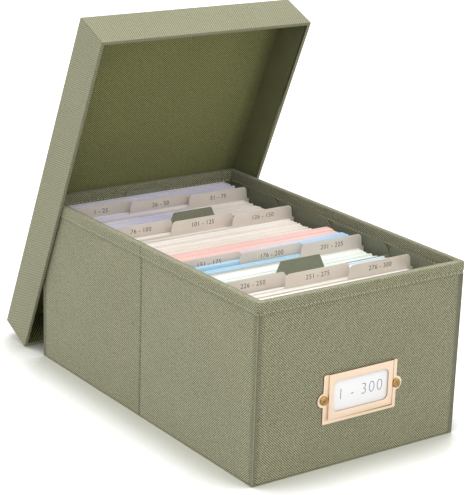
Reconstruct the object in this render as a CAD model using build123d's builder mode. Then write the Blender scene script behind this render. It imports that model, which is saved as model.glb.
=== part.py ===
"""Cloth-covered photo storage box: hinged-board box, four lift-out trays with divider cards and
photo bundles, a label holder on the front, and the lid leaning on the box's back edge.

Millimetres. Origin at the middle of the box's underside, +Z up, label side towards -Y.
"""
import math
import os

from build123d import *

os.makedirs("parts", exist_ok=True)

# ---------------------------------------------------------------- driving dimensions
# Photo prints, standing on their long edge, which the whole box is made to hold
print_width = 152.4
print_height = 101.6
print_side_play = 5.9
print_head_room = 16.1

# Layers of the box wall, from outside to inside
binding_tape = 0.7
cover_cloth = 0.6
wall_board = 2.8
lining_cloth = 0.5
binding_drop = 9.5
binding_corner_radius = 1.6
binding_edge_radius = 0.4

# Bottom of the box
base_cloth = 0.6
bottom_board = 2.8
base_pad = 8.0
base_pad_clearance = 0.8

# Cloth hinge across the middle of each long side
fold_gap = 1.6
fold_groove_depth = 0.3

# Sewn ridge down each upright corner
seam_width = 2.4
seam_proud = 0.35
seam_corner_radius = 1.1

# Lid
lid_clearance = 0.8
lid_cloth = 0.5
lid_board = 1.8
lid_lining_cloth = 0.4
lid_depth = 33.0
lid_lean = 23.5
lid_rest_gap = 0.3

# Trays, one behind the other; their tops are measured down from the box's rim
tray_count = 4
tray_length = 67.4
tray_card = 0.9
tray_side_clearance = 0.7
tray_end_clearance = 0.6
tray_gap = 0.5
tray_back_drop = 14.5
tray_side_drop = 8.0
tray_front_height = 42.0
tray_side_front_radius = 9.0
tray_side_rear_radius = 2.5
tray_tab_height = 10.5
tray_tab_top_width = 34.0
tray_tab_foot_width = 44.0
tray_tab_corner_radius = 1.5
trays_with_tab = (1, 2, 4)

# Divider cards, three to a tray, their tabs stepping from left to right and overlapping a little
divider_count = 3
divider_side_play = 0.6
divider_tab_drop = 6.0
divider_tab_width = 54.5
divider_tab_height = 10.0
divider_tab_inset = 3.2
divider_tab_slope = 1.2
divider_thickness = 0.5
divider_corner_radius = 3.5
divider_foot_radius = 1.8

# Bundles of prints, from the back of a tray to its front
paper_gap = 0.3
bundle_slack = 3.0
first_bundle = {1: 16.0, 2: 6.0, 3: 28.0, 4: 13.0}
middle_bundle = {1: 4.4, 2: 5.6, 3: 3.8, 4: 5.0}
# some bundles are prints of a taller format: how much taller, by (tray, place in the tray)
taller_format = {
    (1, 1): 8.4, (1, 2): 1.6, (1, 3): 2.4, (2, 1): 2.0, (2, 2): 0.8,
    (3, 1): 7.0, (3, 2): 5.0, (3, 3): 3.0, (4, 1): 2.0, (4, 3): 1.0,
}

# Label holder on the front
label_width = 64.0
label_height = 36.0
label_corner_radius = 1.2
label_sheet = 0.8
label_centre_height = 50.5
label_raised_margin = 4.2
label_raised_foot = 3.4
label_pocket_depth = 1.1
label_pocket_wall = 1.0
label_window_width = 47.8
label_window_height = 22.6
label_window_rise = 1.4
label_window_radius = 4.0
label_ear_radius = 5.2
label_screw_inset = 0.4
label_card_thickness = 0.4
label_card_clearance = 0.5
label_card_top_inset = 0.8

# Screws of the label holder
screw_head_diameter = 6.6
screw_head_height = 2.0
screw_head_edge = 0.5
screw_shank_diameter = 2.4
screw_hole_clearance = 0.2
screw_bite = 2.2

# ---------------------------------------------------------------- sizes worked out from them
wall_at_rim = 2 * binding_tape + cover_cloth + wall_board + lining_cloth
tray_x = print_width / 2 + print_side_play + tray_card
tray_run = tray_count * tray_length + (tray_count - 1) * tray_gap
outer_x = tray_x + tray_side_clearance + wall_at_rim
outer_y = tray_run / 2 + tray_end_clearance + wall_at_rim
cover_x = outer_x - binding_tape
cover_y = outer_y - binding_tape
board_x = cover_x - cover_cloth
board_y = cover_y - cover_cloth
lining_x = board_x - wall_board
lining_y = board_y - wall_board
room_x = lining_x - lining_cloth
room_y = lining_y - lining_cloth
mouth_x = room_x - binding_tape
mouth_y = room_y - binding_tape

bottom_board_top = base_cloth + bottom_board
base_pad_top = bottom_board_top + base_pad
tray_floor = base_pad_top + tray_card
box_height = tray_floor + print_height + print_head_room
wall_top = box_height - binding_tape
binding_foot = box_height - binding_drop

screw_hole_radius = screw_shank_diameter / 2 + screw_hole_clearance
screw_x = label_width / 2 - label_screw_inset


def save(piece, name):
    """Label one finished piece and write it as its own file."""
    piece.label = name
    export_step(piece, f"parts/{name}.step")


def upright_slab(low, high):
    """A plain rectangular piece between two corners."""
    size_x = high[0] - low[0]
    size_y = high[1] - low[1]
    with BuildPart() as slab:
        with BuildSketch(Plane.XY.offset(low[2])):
            with Locations(((low[0] + high[0]) / 2, (low[1] + high[1]) / 2)):
                Rectangle(size_x, size_y)
        extrude(amount=high[2] - low[2])
    return slab.part


# ---------------------------------------------------------------- bottom of the box
with BuildPart() as base_cover:
    with BuildSketch(Plane.XY):
        Rectangle(2 * cover_x, 2 * cover_y)
    extrude(amount=base_cloth)
save(base_cover.part, "base_cover")

with BuildPart() as bottom_panel:
    with BuildSketch(Plane.XY.offset(base_cloth)):
        Rectangle(2 * lining_x, 2 * lining_y)
    extrude(amount=bottom_board)
save(bottom_panel.part, "bottom_board")

with BuildPart() as loose_pad:
    with BuildSketch(Plane.XY.offset(bottom_board_top)):
        Rectangle(2 * (room_x - base_pad_clearance), 2 * (room_y - base_pad_clearance))
    extrude(amount=base_pad)
save(loose_pad.part, "base_pad")

# ---------------------------------------------------------------- boards inside the walls
label_plane = Plane(
    origin=(0, -cover_y, label_centre_height), x_dir=(1, 0, 0), z_dir=(0, -1, 0)
)
front_board_face = label_plane.offset(-cover_cloth)

with BuildPart() as front_board:
    with BuildSketch(Plane.XY.offset(base_cloth)):
        with Locations((0, -(board_y + lining_y) / 2)):
            Rectangle(2 * board_x, wall_board)
    extrude(amount=wall_top - base_cloth)
    with BuildSketch(front_board_face):
        with Locations((-screw_x, 0), (screw_x, 0)):
            Circle(screw_hole_radius)
    extrude(amount=-screw_bite, mode=Mode.SUBTRACT)
save(front_board.part, "front_board")

with BuildPart() as back_board:
    with BuildSketch(Plane.XY.offset(base_cloth)):
        with Locations((0, (board_y + lining_y) / 2)):
            Rectangle(2 * board_x, wall_board)
    extrude(amount=wall_top - base_cloth)
save(back_board.part, "back_board")

for side, side_name in ((-1, "left"), (1, "right")):
    for end, end_name in ((-1, "front"), (1, "rear")):
        corner_a = (side * lining_x, end * fold_gap / 2)
        corner_b = (side * board_x, end * lining_y)
        low = (min(corner_a[0], corner_b[0]), min(corner_a[1], corner_b[1]), base_cloth)
        high = (max(corner_a[0], corner_b[0]), max(corner_a[1], corner_b[1]), wall_top)
        save(upright_slab(low, high), f"{side_name}_board_{end_name}")

# ---------------------------------------------------------------- outer cloth
with BuildPart() as front_cover:
    with BuildSketch(Plane.XY.offset(base_cloth)):
        with Locations((0, -(cover_y + board_y) / 2)):
            Rectangle(2 * (cover_x - seam_width), cover_cloth)
    extrude(amount=wall_top - base_cloth)
    with BuildSketch(label_plane):
        with Locations((-screw_x, 0), (screw_x, 0)):
            Circle(screw_hole_radius)
    extrude(amount=-cover_cloth, mode=Mode.SUBTRACT)
save(front_cover.part, "front_cover")

with BuildPart() as back_cover:
    with BuildSketch(Plane.XY.offset(base_cloth)):
        with Locations((0, (cover_y + board_y) / 2)):
            Rectangle(2 * (cover_x - seam_width), cover_cloth)
    extrude(amount=wall_top - base_cloth)
save(back_cover.part, "back_cover")

for side, side_name in ((-1, "left"), (1, "right")):
    with BuildPart() as side_cover:
        with BuildSketch(Plane.XY.offset(base_cloth)):
            with Locations((side * (cover_x + board_x) / 2, 0)):
                Rectangle(cover_cloth, 2 * (cover_y - seam_width))
        extrude(amount=wall_top - base_cloth)
        # the cloth dips into the hinge between the two boards
        with BuildSketch(Plane.XY.offset(base_cloth)):
            with BuildLine():
                ThreePointArc(
                    (side * cover_x, -fold_gap),
                    (side * (cover_x - fold_groove_depth), 0),
                    (side * cover_x, fold_gap),
                )
                Line((side * cover_x, fold_gap), (side * cover_x, -fold_gap))
            make_face()
        extrude(amount=wall_top - base_cloth, mode=Mode.SUBTRACT)
    save(side_cover.part, f"{side_name}_cover")

# Sewn corner ridges: one angle strip down each upright corner, under the rim binding
with BuildPart() as corner_seams:
    for side_x in (-1, 1):
        for side_y in (-1, 1):
            leg = seam_width + seam_proud
            outer_corner = (side_x * (cover_x + seam_proud), side_y * (cover_y + seam_proud))
            with BuildSketch(Plane.XY.offset(base_cloth)):
                with Locations(
                    (outer_corner[0] - side_x * leg / 2, outer_corner[1] - side_y * leg / 2)
                ):
                    Rectangle(leg, leg)
                with Locations((side_x * (board_x - leg / 2), side_y * (board_y - leg / 2))):
                    Rectangle(leg, leg, mode=Mode.SUBTRACT)
            extrude(amount=binding_foot - base_cloth)
    outermost = corner_seams.edges().filter_by(Axis.Z).filter_by(
        lambda edge: abs(edge.center().X) > cover_x and abs(edge.center().Y) > cover_y
    )
    fillet(outermost, radius=seam_corner_radius)
save(corner_seams.part, "corner_seams")

# ---------------------------------------------------------------- lining and rim binding
with BuildPart() as inner_lining:
    with BuildSketch(Plane.XY.offset(bottom_board_top)):
        Rectangle(2 * lining_x, 2 * lining_y)
        Rectangle(2 * room_x, 2 * room_y, mode=Mode.SUBTRACT)
    extrude(amount=wall_top - bottom_board_top)
save(inner_lining.part, "inner_lining")

with BuildPart() as rim_binding:
    with BuildSketch(Plane.XY.offset(binding_foot)):
        RectangleRounded(2 * outer_x, 2 * outer_y, binding_corner_radius)
        Rectangle(2 * mouth_x, 2 * mouth_y, mode=Mode.SUBTRACT)
    extrude(amount=binding_drop)
    top_edges = rim_binding.faces().sort_by(Axis.Z)[-1].edges()
    fillet(top_edges, radius=binding_edge_radius)
    # the channel that takes the cloth, the board and the lining
    with BuildSketch(Plane.XY.offset(binding_foot)):
        Rectangle(2 * cover_x, 2 * cover_y)
        Rectangle(2 * room_x, 2 * room_y, mode=Mode.SUBTRACT)
    extrude(amount=binding_drop - binding_tape, mode=Mode.SUBTRACT)
save(rim_binding.part, "rim_binding")

# ---------------------------------------------------------------- label holder
raised_half_width = label_width / 2 - label_raised_margin
raised_foot = -label_height / 2 + label_raised_foot
pocket_half_width = raised_half_width - label_pocket_wall
pocket_foot = raised_foot + label_pocket_wall
label_top = label_height / 2

with BuildPart() as label_frame:
    with BuildSketch(label_plane):
        RectangleRounded(label_width, label_height, label_corner_radius)
        with Locations((-screw_x, 0), (screw_x, 0)):
            Circle(label_ear_radius)
    extrude(amount=label_sheet)
    # raised face in front of the card
    with BuildSketch(label_plane):
        with Locations((0, (raised_foot + label_top) / 2)):
            Rectangle(2 * raised_half_width, label_top - raised_foot)
    extrude(amount=label_pocket_depth + label_sheet)
    # pocket, open at the top
    with BuildSketch(label_plane):
        with Locations((0, (pocket_foot + label_top) / 2)):
            Rectangle(2 * pocket_half_width, label_top - pocket_foot)
    extrude(amount=label_pocket_depth, mode=Mode.SUBTRACT)
    with BuildSketch(label_plane):
        with Locations((0, label_window_rise)):
            RectangleRounded(label_window_width, label_window_height, label_window_radius)
        with Locations((-screw_x, 0), (screw_x, 0)):
            Circle(screw_hole_radius)
    extrude(amount=label_pocket_depth + label_sheet, mode=Mode.SUBTRACT)
save(label_frame.part, "label_frame")

card_back_gap = (label_pocket_depth - label_card_thickness) / 2
card_top = label_top - label_card_top_inset
with BuildPart() as label_card:
    with BuildSketch(label_plane.offset(card_back_gap)):
        with Locations((0, (pocket_foot + card_top) / 2)):
            Rectangle(
                2 * (pocket_half_width - label_card_clearance), card_top - pocket_foot
            )
    extrude(amount=label_card_thickness)
save(label_card.part, "label_card")

# Round-headed screws through the ears into the front board
head_seat = label_plane.offset(label_sheet)
with BuildPart() as label_screws:
    with BuildSketch(head_seat):
        with Locations((-screw_x, 0), (screw_x, 0)):
            Circle(screw_head_diameter / 2)
    extrude(amount=screw_head_height)
    head_rims = label_screws.faces().sort_by(Axis.Y)[:2].edges()
    fillet(head_rims, radius=screw_head_height - screw_head_edge)
    with BuildSketch(head_seat):
        with Locations((-screw_x, 0), (screw_x, 0)):
            Circle(screw_shank_diameter / 2)
    extrude(amount=-(label_sheet + cover_cloth + screw_bite))
save(label_screws.part, "label_screws")

# ---------------------------------------------------------------- lid, leaning on the back edge
lid_wall = lid_cloth + lid_board + lid_lining_cloth
lid_x = outer_x + lid_clearance + lid_wall
lid_y = outer_y + lid_clearance + lid_wall
lean = math.radians(lid_lean)
lid_out = (0, math.cos(lean), math.sin(lean))
lid_up = (0, -math.sin(lean), math.cos(lean))

# The lower rim stands on the same surface as the box, and the panel's inner face meets the
# top of the box's back edge.
edge_reach = lid_depth - lid_wall - lid_rest_gap
lid_foot_y = outer_y - (edge_reach - box_height * math.sin(lean)) / math.cos(lean)
lid_plane = Plane(
    origin=(0, lid_foot_y + lid_up[1] * lid_y, lid_up[2] * lid_y),
    x_dir=(-1, 0, 0),
    z_dir=lid_out,
)


def lid_rectangle(inset):
    """Half sizes of the lid's outline, drawn in from its outside."""
    return lid_x - inset, lid_y - inset


panel_foot = lid_depth - lid_cloth - lid_board
board_half_x, board_half_y = lid_rectangle(lid_cloth)
inner_half_x, inner_half_y = lid_rectangle(lid_cloth + lid_board)
lining_half_x, lining_half_y = lid_rectangle(lid_wall)

with BuildPart() as lid_top_board:
    with BuildSketch(lid_plane.offset(panel_foot)):
        Rectangle(2 * board_half_x, 2 * board_half_y)
    extrude(amount=lid_board)
save(lid_top_board.part, "lid_top_board")

for side, side_name in ((-1, "right"), (1, "left")):
    with BuildPart() as lid_side_board:
        with BuildSketch(lid_plane.offset(lid_cloth)):
            with Locations((side * (board_half_x + inner_half_x) / 2, 0)):
                Rectangle(lid_board, 2 * inner_half_y)
        extrude(amount=panel_foot - lid_cloth)
    save(lid_side_board.part, f"lid_{side_name}_board")

for end, end_name in ((-1, "lower"), (1, "upper")):
    with BuildPart() as lid_end_board:
        with BuildSketch(lid_plane.offset(lid_cloth)):
            with Locations((0, end * (board_half_y + inner_half_y) / 2)):
                Rectangle(2 * board_half_x, lid_board)
        extrude(amount=panel_foot - lid_cloth)
    save(lid_end_board.part, f"lid_{end_name}_board")

with BuildPart() as lid_top_cover:
    with BuildSketch(lid_plane.offset(lid_depth - lid_cloth)):
        Rectangle(2 * lid_x, 2 * lid_y)
    extrude(amount=lid_cloth)
save(lid_top_cover.part, "lid_top_cover")

# The skirt cloth goes round the four sides and turns in under their lower edges
with BuildPart() as lid_skirt_cover:
    with BuildSketch(lid_plane):
        Rectangle(2 * lid_x, 2 * lid_y)
        Rectangle(2 * lining_half_x, 2 * lining_half_y, mode=Mode.SUBTRACT)
    extrude(amount=lid_cloth)
    with BuildSketch(lid_plane.offset(lid_cloth)):
        Rectangle(2 * lid_x, 2 * lid_y)
        Rectangle(2 * board_half_x, 2 * board_half_y, mode=Mode.SUBTRACT)
    extrude(amount=lid_depth - 2 * lid_cloth)
save(lid_skirt_cover.part, "lid_skirt_cover")

with BuildPart() as lid_lining:
    with BuildSketch(lid_plane.offset(lid_cloth)):
        Rectangle(2 * inner_half_x, 2 * inner_half_y)
    extrude(amount=panel_foot - lid_cloth)
    with BuildSketch(lid_plane.offset(lid_cloth)):
        Rectangle(2 * lining_half_x, 2 * lining_half_y)
    extrude(amount=panel_foot - lid_cloth - lid_lining_cloth, mode=Mode.SUBTRACT)
save(lid_lining.part, "lid_lining")

# ---------------------------------------------------------------- trays
side_top = box_height - tray_side_drop
back_top = box_height - tray_back_drop


def tray_rear(number):
    """The outer face of a tray's back panel, tray 1 being at the back of the box."""
    return mouth_y - tray_end_clearance - (number - 1) * (tray_length + tray_gap)


def folded_tray(number):
    """One tray folded from card: floor, back panel, two sides and a low front."""
    rear = tray_rear(number)
    front = rear - tray_length
    middle = (rear + front) / 2
    with BuildPart() as tray:
        with BuildSketch(Plane.XY.offset(base_pad_top)):
            with Locations((0, middle)):
                Rectangle(2 * tray_x, tray_length)
        extrude(amount=tray_card)
        for side_face in (-tray_x, tray_x - tray_card):
            with BuildSketch(Plane.YZ.offset(side_face)) as side_outline:
                with Locations((middle, (base_pad_top + side_top) / 2)):
                    Rectangle(tray_length, side_top - base_pad_top)
                # in the sketch, X runs along the box and Y is up
                front_top = side_outline.vertices().sort_by(Axis.Y)[-2:].sort_by(Axis.X)[0]
                fillet(front_top, radius=tray_side_front_radius)
                rear_top = side_outline.vertices().sort_by(Axis.X)[-2:].sort_by(Axis.Y)[-1]
                fillet(rear_top, radius=tray_side_rear_radius)
            extrude(amount=tray_card)
        with BuildSketch(Plane.XY.offset(base_pad_top)):
            with Locations((0, front + tray_card / 2)):
                Rectangle(2 * tray_x, tray_card)
        extrude(amount=tray_front_height)
        back_plane = Plane(origin=(0, rear, 0), x_dir=(1, 0, 0), z_dir=(0, -1, 0))
        with BuildSketch(back_plane) as back_outline:
            with Locations((0, (base_pad_top + back_top) / 2)):
                Rectangle(2 * tray_x, back_top - base_pad_top)
            if number in trays_with_tab:
                with BuildLine():
                    Polyline(
                        (-tray_tab_foot_width / 2, back_top),
                        (-tray_tab_top_width / 2, back_top + tray_tab_height),
                        (tray_tab_top_width / 2, back_top + tray_tab_height),
                        (tray_tab_foot_width / 2, back_top),
                        close=True,
                    )
                make_face()
                tab_corners = back_outline.vertices().sort_by(Axis.Y)[-2:]
                fillet(tab_corners, radius=tray_tab_corner_radius)
        extrude(amount=tray_card)
    return tray.part


# ---------------------------------------------------------------- divider cards and prints
divider_width = 2 * (tray_x - tray_card - divider_side_play)
tab_top = box_height - divider_tab_drop
body_top = tab_top - divider_tab_height


def divider(place, rear):
    """A divider card whose tab stands at place 1 (left), 2 (middle) or 3 (right)."""
    card_end = divider_width / 2
    tab_run = divider_width - 2 * divider_tab_inset - divider_tab_width
    tab_middle = ((place - 1) / (divider_count - 1) - 0.5) * tab_run
    tab_end = divider_tab_width / 2
    foot_end = tab_end + divider_tab_slope
    card_plane = Plane(origin=(0, rear, 0), x_dir=(1, 0, 0), z_dir=(0, -1, 0))
    with BuildPart() as card:
        # in the sketch, X runs across the card and Y is up
        with BuildSketch(card_plane) as outline:
            with BuildLine():
                Polyline(
                    (-card_end, tray_floor),
                    (-card_end, body_top),
                    (tab_middle - foot_end, body_top),
                    (tab_middle - tab_end, tab_top),
                    (tab_middle + tab_end, tab_top),
                    (tab_middle + foot_end, body_top),
                    (card_end, body_top),
                    (card_end, tray_floor),
                    close=True,
                )
            make_face()
            tab_corners = outline.vertices().sort_by(Axis.Y)[-2:]
            fillet(tab_corners, radius=divider_corner_radius)
            shoulder_points = outline.vertices().sort_by(Axis.Y)[2:6].sort_by(Axis.X)
            fillet(shoulder_points[1:3], radius=divider_foot_radius)
        extrude(amount=divider_thickness)
    return card.part


def bundle(number, place, rear, thickness):
    """A bundle of prints standing on a tray's floor."""
    height = print_height + taller_format.get((number, place), 0)
    low = (-print_width / 2, rear - thickness, tray_floor)
    high = (print_width / 2, rear, tray_floor + height)
    return upright_slab(low, high)


for number in range(1, tray_count + 1):
    save(folded_tray(number), f"tray_{number}")
    rear = tray_rear(number) - tray_card - paper_gap
    front_limit = tray_rear(number) - tray_length + tray_card + bundle_slack
    thicknesses = [first_bundle[number], middle_bundle[number], middle_bundle[number]]
    for place, thickness in enumerate(thicknesses, start=1):
        save(bundle(number, place, rear, thickness), f"prints_{number}_{place}")
        rear -= thickness + paper_gap
        save(divider(place, rear), f"divider_{number}_{place}")
        rear -= divider_thickness + paper_gap
    last = divider_count + 1
    save(bundle(number, last, rear, rear - front_limit), f"prints_{number}_{last}")
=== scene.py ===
# %% [markdown]
# # A cloth-covered photo storage box
# The imported CAD model comes in as a fixed frame in metres: the box stands at the origin with its
# label towards -Y, and its lid leans on the back edge. Every piece made below lies on that frame,
# so nothing is fitted by eye.

# %% Load the frame
import math
import random
from functools import partial

import bmesh
import bpy
from mathutils import Matrix, Vector


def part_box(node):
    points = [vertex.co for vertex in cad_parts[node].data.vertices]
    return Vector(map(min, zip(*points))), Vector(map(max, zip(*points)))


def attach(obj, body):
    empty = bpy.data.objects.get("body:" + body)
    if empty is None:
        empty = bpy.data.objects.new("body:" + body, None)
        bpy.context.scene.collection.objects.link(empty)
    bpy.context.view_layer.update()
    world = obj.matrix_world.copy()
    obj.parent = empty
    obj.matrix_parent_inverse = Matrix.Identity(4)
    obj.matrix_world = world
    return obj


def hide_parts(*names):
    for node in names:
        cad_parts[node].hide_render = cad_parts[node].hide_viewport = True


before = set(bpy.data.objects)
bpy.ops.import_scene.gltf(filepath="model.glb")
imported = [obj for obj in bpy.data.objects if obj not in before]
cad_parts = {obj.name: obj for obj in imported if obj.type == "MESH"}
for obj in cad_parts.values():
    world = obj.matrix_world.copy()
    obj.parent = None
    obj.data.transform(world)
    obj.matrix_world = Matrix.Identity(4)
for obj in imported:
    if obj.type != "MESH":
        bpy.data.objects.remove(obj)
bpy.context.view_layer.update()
MM = 0.001

# %% [markdown]
# ## The camera
# The camera comes first, because it decides how fine the weave, the thread and the paper edges
# have to be. Its place was found by matching the corners of box and lid in a picture that is
# 465 by 495 pixels. It stands to the left of the label side, 1.3 metres away, looks down at the
# box, and is rolled by two degrees, as a hand-held camera is.

# %% Camera
camera_place = Vector((-0.7157, -0.9866, 0.5003))
camera_azimuth = math.radians(-35.59)
camera_elevation = math.radians(17.58)
camera_roll = math.radians(1.86)
focal_length_pixels = 1742
picture_height_pixels = 495
sensor_height = 36.0

camera_data = bpy.data.cameras.new("camera")
camera_data.sensor_width = sensor_height
camera_data.lens = focal_length_pixels / picture_height_pixels * sensor_height
camera_data.clip_end = 30
camera = bpy.data.objects.new("camera", camera_data)
bpy.context.scene.collection.objects.link(camera)
camera.matrix_world = (
    Matrix.Translation(camera_place)
    @ Matrix.Rotation(camera_azimuth, 4, "Z")
    @ Matrix.Rotation(math.pi / 2 - camera_elevation, 4, "X")
    @ Matrix.Rotation(camera_roll, 4, "Z")
)
bpy.context.scene.camera = camera
bpy.context.scene.view_settings.view_transform = "Standard"
print("lens mm", round(camera_data.lens, 1))

# %% [markdown]
# ## Small tools for making pieces
# A piece starts as a blank between two corners and is shaped in edit mode. The operators act on
# all that is selected, so the faces, edges or points they are meant for are picked first, by
# where their middle is and which way they point. Modifiers are applied at once, so that each
# piece ends as a plain mesh whose place is in its points.

# %% Blank, pick, modify
def start_blank(name, low, high):
    """A block between two corners, in edit mode, ready to be shaped."""
    low, high = Vector(low), Vector(high)
    bpy.ops.object.select_all(action="DESELECT")
    bpy.ops.mesh.primitive_cube_add(size=1, location=(low + high) / 2, scale=high - low)
    return open_blank(name)


def start_sheet(name, middle, size_x, size_y):
    """A level rectangle, in edit mode, ready to be shaped."""
    bpy.ops.object.select_all(action="DESELECT")
    bpy.ops.mesh.primitive_plane_add(size=1, location=middle)
    bpy.context.object.scale = (size_x, size_y, 1)
    return open_blank(name)


def open_blank(name):
    """Name the new mesh, put its place and size into its points, and open it in edit mode."""
    bpy.ops.object.transform_apply()
    piece = bpy.context.object
    piece.name = piece.data.name = name
    bpy.ops.object.mode_set(mode="EDIT")
    return piece


def pick(piece, kind, test):
    """Select only the faces, edges or points that pass test(middle, direction)."""
    bpy.ops.mesh.select_mode(type=kind)
    bpy.ops.mesh.select_all(action="DESELECT")
    shape = bmesh.from_edit_mesh(piece.data)
    shape.normal_update()
    parts = {"VERT": shape.verts, "EDGE": shape.edges, "FACE": shape.faces}[kind]
    for part in parts:
        corners = [part] if kind == "VERT" else list(part.verts)
        middle = sum((corner.co for corner in corners), Vector()) / len(corners)
        if kind == "EDGE":
            direction = (corners[1].co - corners[0].co).normalized()
        else:
            direction = part.normal
        if test(middle, direction):
            part.select_set(True)
    shape.select_flush_mode()
    bmesh.update_edit_mesh(piece.data)


def cut_through(place, normal):
    """Cut the whole piece along a plane, as a knife would, and leave both halves joined."""
    bpy.ops.mesh.select_all(action="SELECT")
    bpy.ops.mesh.bisect(plane_co=place, plane_no=normal)


def modify(piece, kind, **settings):
    """Add one modifier, set it and apply it."""
    if piece.mode == "EDIT":
        bpy.ops.object.mode_set(mode="OBJECT")
    bpy.context.view_layer.objects.active = piece
    modifier = piece.modifiers.new(kind.lower(), kind)
    for name, value in settings.items():
        setattr(modifier, name, value)
    bpy.ops.object.modifier_apply(modifier=modifier.name)


# %% Finish a piece
def select_only(*pieces):
    """Leave edit mode, and select these pieces and nothing else."""
    if bpy.context.object and bpy.context.object.mode == "EDIT":
        bpy.ops.object.mode_set(mode="OBJECT")
    bpy.ops.object.select_all(action="DESELECT")
    for piece in pieces:
        piece.select_set(True)
    bpy.context.view_layer.objects.active = pieces[0]


def edit_all(piece):
    """Open a piece in edit mode with all of it selected."""
    select_only(piece)
    bpy.ops.object.mode_set(mode="EDIT")
    bpy.ops.mesh.select_all(action="SELECT")


def face_outwards(piece):
    """Turn all faces of a piece outwards."""
    edit_all(piece)
    bpy.ops.mesh.normals_make_consistent(inside=False)
    bpy.ops.object.mode_set(mode="OBJECT")


def lay_cloth(piece, fineness=1.0):
    """Give each face flat cloth coordinates, one unit to a metre, along the face's own side."""
    edit_all(piece)
    bpy.ops.uv.cube_project(cube_size=1.0 / fineness, correct_aspect=False)
    bpy.ops.object.mode_set(mode="OBJECT")


def finish_piece(piece, material, body, replaces=(), smooth_angle=35):
    """Settle a piece: its place, shading, finish, body, and the nodes it stands for."""
    select_only(piece)
    bpy.ops.object.transform_apply()
    bpy.ops.object.shade_smooth_by_angle(angle=math.radians(smooth_angle))
    piece.data.materials.clear()
    piece.data.materials.append(material)
    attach(piece, body)
    if replaces:
        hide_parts(*replaces)
    size = [round(side / MM, 1) for side in piece.dimensions]
    print(piece.name, "mm", size, "faces", len(piece.data.polygons))
    return piece


# %% [markdown]
# ## Small tools for finishes
# Colours are written as they look on a screen, in hex, and one function turns them to the linear
# values that the renderer works in. One more adds a node, with its settings and its links. The
# rest is what several finishes share: a slow change of tone, wear, and the links to the surface.

# %% Colour and nodes
def linear(hex_colour):
    """An sRGB hex colour as linear red, green, blue and alpha."""
    channels = [int(hex_colour[i:i + 2], 16) / 255 for i in (1, 3, 5)]
    return tuple(
        c / 12.92 if c <= 0.04045 else ((c + 0.055) / 1.055) ** 2.4 for c in channels
    ) + (1.0,)


def set_input(node, socket, value):
    """Give an input a value, or link it to an output, or to another node's first output."""
    if isinstance(value, bpy.types.Node):
        value = value.outputs[0]
    if isinstance(value, bpy.types.NodeSocket):
        node.id_data.links.new(value, node.inputs[socket])
    else:
        node.inputs[socket].default_value = value


def add_node(tree, kind, inputs=None, **settings):
    """One shader node, with its settings and its inputs."""
    made = tree.nodes.new("ShaderNode" + kind)
    for name, value in settings.items():
        setattr(made, name, value)
    for socket, value in (inputs or {}).items():
        set_input(made, socket, value)
    return made


def new_finish(name, **sockets):
    """A new material, the function that adds nodes to it, and its surface shader."""
    material = bpy.data.materials.new(name)
    material.use_nodes = True
    surface = material.node_tree.nodes["Principled BSDF"]
    for socket, value in sockets.items():
        set_input(surface, socket.replace("_", " "), value)
    return material, partial(add_node, material.node_tree), surface


# %% What the finishes share
# how strongly the stored painted shade, painted highlight and tone change a colour
painted_light_and_tone_share = 0.5


def uneven_tone(add, vector, scale, detail, darkest, palest):
    """A level near 1 that a slow noise moves. The noise itself hardly leaves 0.3 to 0.7."""
    noise = add("TexNoise", {"Vector": vector, "Scale": scale, "Detail": detail})
    return add("MapRange", {
        "Value": noise, "From Min": 0.3, "From Max": 0.7, "To Min": darkest, "To Max": palest,
    })


def painted_light_and_tone_level(add, level):
    """A level raised or lowered by the painted light and tone that a piece stores."""
    painted_light_and_tone = add("Attribute", attribute_name="painted_light_and_tone").outputs["Fac"]
    return add("Math", {0: painted_light_and_tone, 1: painted_light_and_tone_share, 2: level}, operation="MULTIPLY_ADD")


def settle_surface(add, surface, colour, level, height=None, relief=0.0, strength=0.5):
    """Scale a colour by a level, and link it, and a fine relief, to the surface shader."""
    scaled = add("VectorMath", {0: colour, "Scale": level}, operation="SCALE")
    set_input(surface, "Base Color", scaled)
    if height is not None:
        bump = add("Bump", {"Height": height, "Distance": relief, "Strength": strength})
        set_input(surface, "Normal", bump)


# %% [markdown]
# ## Canvas
# The box, its binding and its lid are covered in book canvas: a plain weave of thick cotton
# thread, dyed sage green. The tops of the threads are light and the gaps dark, and because warp
# and weft cross one over one, the eye reads slanting rows. A picture of cloth could be wrapped
# on, but a weave made from two crossing waves stays sharp at any size. Real threads lie 0.6 mm
# apart, finer than a pixel, so they are drawn half as coarse again, and the lining's twice as
# coarse. Noise along the rows and the threads makes some of them stand out, and a slow noise is
# the uneven dye. Where a piece stores painted light and tone, its cloth is paler under a painted
# highlight, and darker under painted shade, as in sunk seams, creases and corners.

# %% Canvas finish
thread_pitch = 0.9 * MM
lining_pitch = 1.2 * MM
canvas_relief = 0.16 * MM
wander_share = 0.5
strong_row, weak_row = 0.46, 0.14
# how noise is drawn out along the rows, the warp and the weft, in threads, and how much it does
row_dashes = ((0.7, 0.3, 1), 1.1)
thick_warp, thick_weft = ((1.1, 0.07, 1), 0.3), ((0.07, 1.1, 1), 0.3)


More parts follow.
